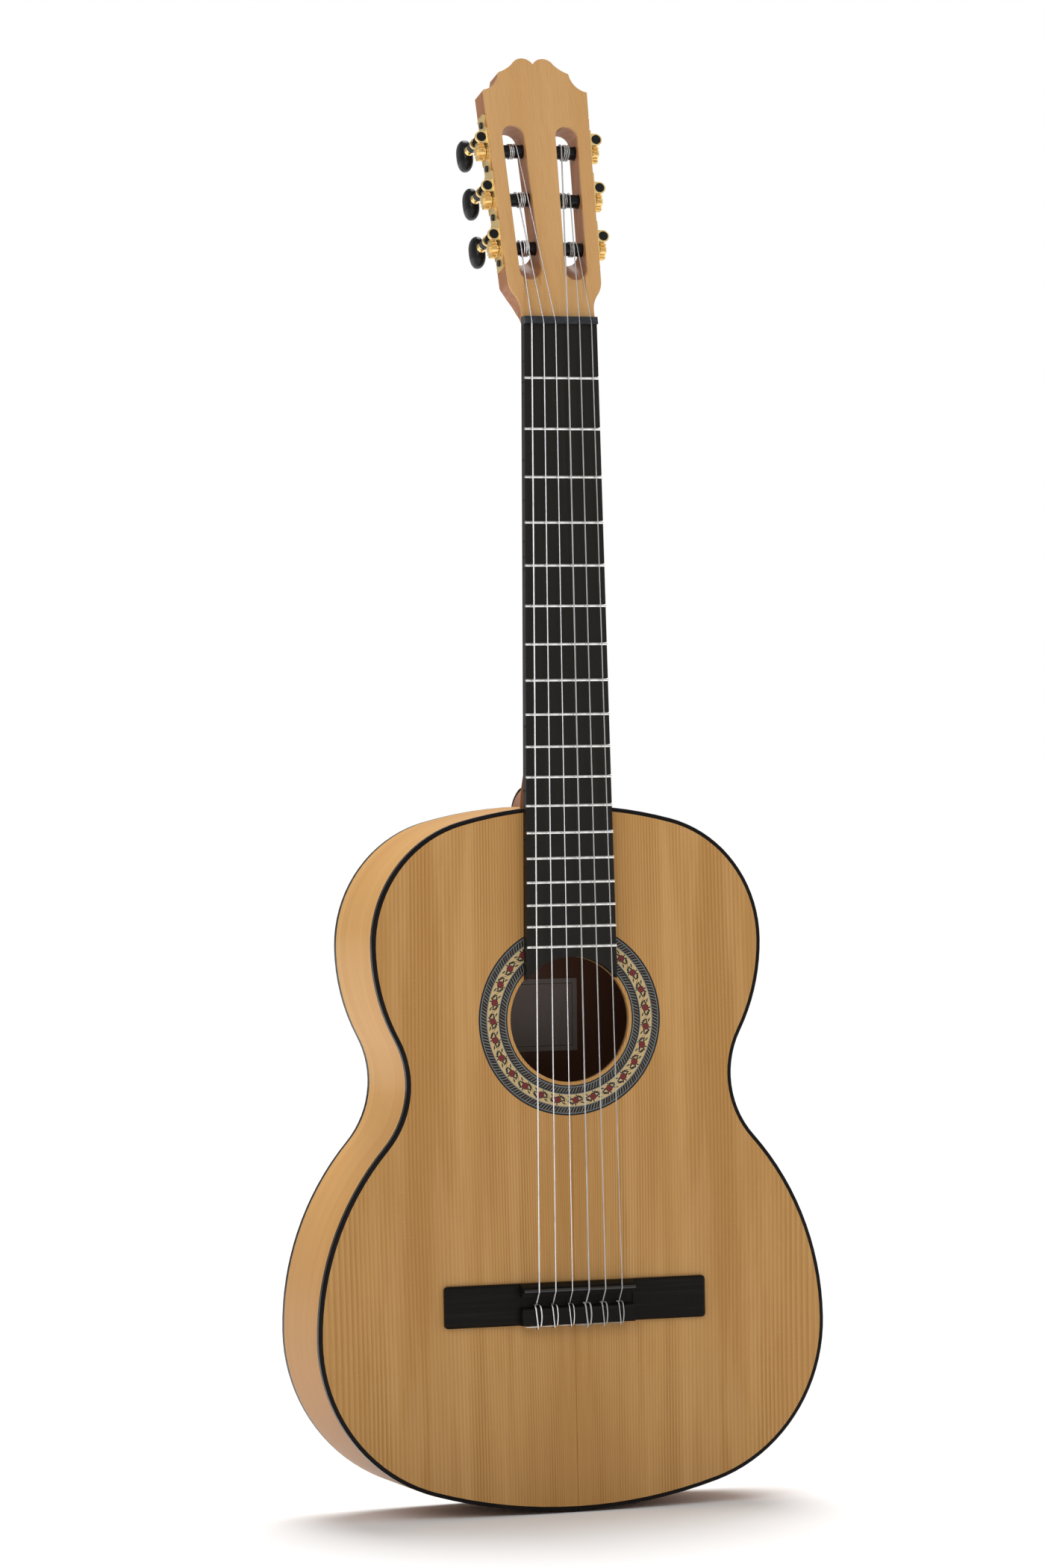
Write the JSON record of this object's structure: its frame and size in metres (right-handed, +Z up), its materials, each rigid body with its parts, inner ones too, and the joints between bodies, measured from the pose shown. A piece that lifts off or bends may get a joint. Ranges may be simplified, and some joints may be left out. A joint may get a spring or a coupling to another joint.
{
  "type": "flamenco guitar",
  "caption": "Six-string nylon flamenco guitar with a slotted head, worm-gear tuners, a rope-and-vine rosette and a tie-block bridge; its buttons turn the string rollers.",
  "frame": {"origin": "front edge of the nut on the centre line, in the plane of the soundboard's face", "axes": "+X towards the treble side, +Y towards the back of the guitar, +Z up along the neck towards the head"},
  "size_m": [0.3618, 0.1044, 0.9872],
  "materials": {
    "spruce_top": "thin satin varnish over fine straight grain",
    "cypress": "golden satin varnish",
    "binding": "black, satin",
    "lining_wood": "bare sanded wood",
    "rosette": "inlaid dyed wood under varnish",
    "label_paper": "matte blank paper",
    "cedar_neck": "reddish brown satin varnish",
    "head_veneer": "light tan satin veneer",
    "ebony": "oiled, fine pores",
    "fret_wire": "polished nickel silver",
    "dark_bone": "dark, polished",
    "gilt_plate": "gilt, polished",
    "black_screw": "blackened steel",
    "worm_black": "black shaft with a gilt ferrule",
    "button_black": "polished black",
    "roller_black": "polished black",
    "bass_string": "silver-plated wound wire",
    "nylon_string": "clear nylon"
  },
  "bodies": {
    "guitar": {"soundboard": "spruce_top", "rosette": "rosette", "top_binding": "binding", "back_plate": "cypress", "back_binding": "binding", "side_bass": "cypress", "side_treble": "cypress", "linings": "lining_wood", "tail_block": "lining_wood", "soundboard_braces": "lining_wood", "back_braces": "lining_wood", "label": "label_paper", "neck": "cedar_neck", "heel_cap": "binding", "headstock": "cedar_neck", "head_veneer": "head_veneer", "fingerboard": "ebony", "frets": "fret_wire", "nut": "dark_bone", "bridge": "ebony", "saddle": "dark_bone", "tuner_plate_bass": "gilt_plate", "tuner_plate_treble": "gilt_plate", "plate_screws": "black_screw", "string_1": "bass_string", "string_2": "bass_string", "string_3": "bass_string", "string_4": "nylon_string", "string_5": "nylon_string", "string_6": "nylon_string"},
    "tuner_1": {"worm_shaft_1": "worm_black", "button_1": "button_black"},
    "roller_set_1": {"roller_1": "roller_black", "gear_1": "gilt_plate", "string_coil_1": "bass_string"},
    "tuner_2": {"worm_shaft_2": "worm_black", "button_2": "button_black"},
    "roller_set_2": {"roller_2": "roller_black", "gear_2": "gilt_plate", "string_coil_2": "bass_string"},
    "tuner_3": {"worm_shaft_3": "worm_black", "button_3": "button_black"},
    "roller_set_3": {"roller_3": "roller_black", "gear_3": "gilt_plate", "string_coil_3": "bass_string"},
    "tuner_4": {"worm_shaft_4": "worm_black", "button_4": "button_black"},
    "roller_set_4": {"roller_4": "roller_black", "gear_4": "gilt_plate", "string_coil_4": "nylon_string"},
    "tuner_5": {"worm_shaft_5": "worm_black", "button_5": "button_black"},
    "roller_set_5": {"roller_5": "roller_black", "gear_5": "gilt_plate", "string_coil_5": "nylon_string"},
    "tuner_6": {"worm_shaft_6": "worm_black", "button_6": "button_black"},
    "roller_set_6": {"roller_6": "roller_black", "gear_6": "gilt_plate", "string_coil_6": "nylon_string"}
  },
  "joints": [
    {"name": "button_turn_1", "type": "hinge", "parent": "guitar", "child": "tuner_1", "pos_m": [-0.03936, 0.0213, 0.06077], "axis": [0, 0.9703, -0.2419], "continuous": true},
    {"name": "roller_turn_1", "type": "hinge", "parent": "guitar", "child": "roller_set_1", "pos_m": [-0.02512, 0.01937, 0.05302], "axis": [-0.9996, -0.0071, -0.0285], "continuous": true},
    {"name": "button_turn_2", "type": "hinge", "parent": "guitar", "child": "tuner_2", "pos_m": [-0.04039, 0.02976, 0.09471], "axis": [0, 0.9703, -0.2419], "continuous": true},
    {"name": "roller_turn_2", "type": "hinge", "parent": "guitar", "child": "roller_set_2", "pos_m": [-0.02615, 0.02783, 0.08696], "axis": [-0.9996, -0.0071, -0.0285], "continuous": true},
    {"name": "button_turn_3", "type": "hinge", "parent": "guitar", "child": "tuner_3", "pos_m": [-0.04142, 0.03823, 0.12866], "axis": [0, 0.9703, -0.2419], "continuous": true},
    {"name": "roller_turn_3", "type": "hinge", "parent": "guitar", "child": "roller_set_3", "pos_m": [-0.02718, 0.0363, 0.12091], "axis": [-0.9996, -0.0071, -0.0285], "continuous": true},
    {"name": "button_turn_4", "type": "hinge", "parent": "guitar", "child": "tuner_4", "pos_m": [0.04142, 0.03823, 0.12866], "axis": [0, 0.9703, -0.2419], "continuous": true},
    {"name": "roller_turn_4", "type": "hinge", "parent": "guitar", "child": "roller_set_4", "pos_m": [0.02718, 0.0363, 0.12091], "axis": [0.9996, -0.0071, -0.0285], "continuous": true},
    {"name": "button_turn_5", "type": "hinge", "parent": "guitar", "child": "tuner_5", "pos_m": [0.04039, 0.02976, 0.09471], "axis": [0, 0.9703, -0.2419], "continuous": true},
    {"name": "roller_turn_5", "type": "hinge", "parent": "guitar", "child": "roller_set_5", "pos_m": [0.02615, 0.02783, 0.08696], "axis": [0.9996, -0.0071, -0.0285], "continuous": true},
    {"name": "button_turn_6", "type": "hinge", "parent": "guitar", "child": "tuner_6", "pos_m": [0.03936, 0.0213, 0.06077], "axis": [0, 0.9703, -0.2419], "continuous": true},
    {"name": "roller_turn_6", "type": "hinge", "parent": "guitar", "child": "roller_set_6", "pos_m": [0.02512, 0.01937, 0.05302], "axis": [0.9996, -0.0071, -0.0285], "continuous": true}
  ],
  "couplings": [
    {"joint": "roller_turn_1", "follows": "button_turn_1", "ratio": 0.071429},
    {"joint": "roller_turn_2", "follows": "button_turn_2", "ratio": 0.071429},
    {"joint": "roller_turn_3", "follows": "button_turn_3", "ratio": 0.071429},
    {"joint": "roller_turn_4", "follows": "button_turn_4", "ratio": 0.071429},
    {"joint": "roller_turn_5", "follows": "button_turn_5", "ratio": 0.071429},
    {"joint": "roller_turn_6", "follows": "button_turn_6", "ratio": 0.071429}
  ]
}
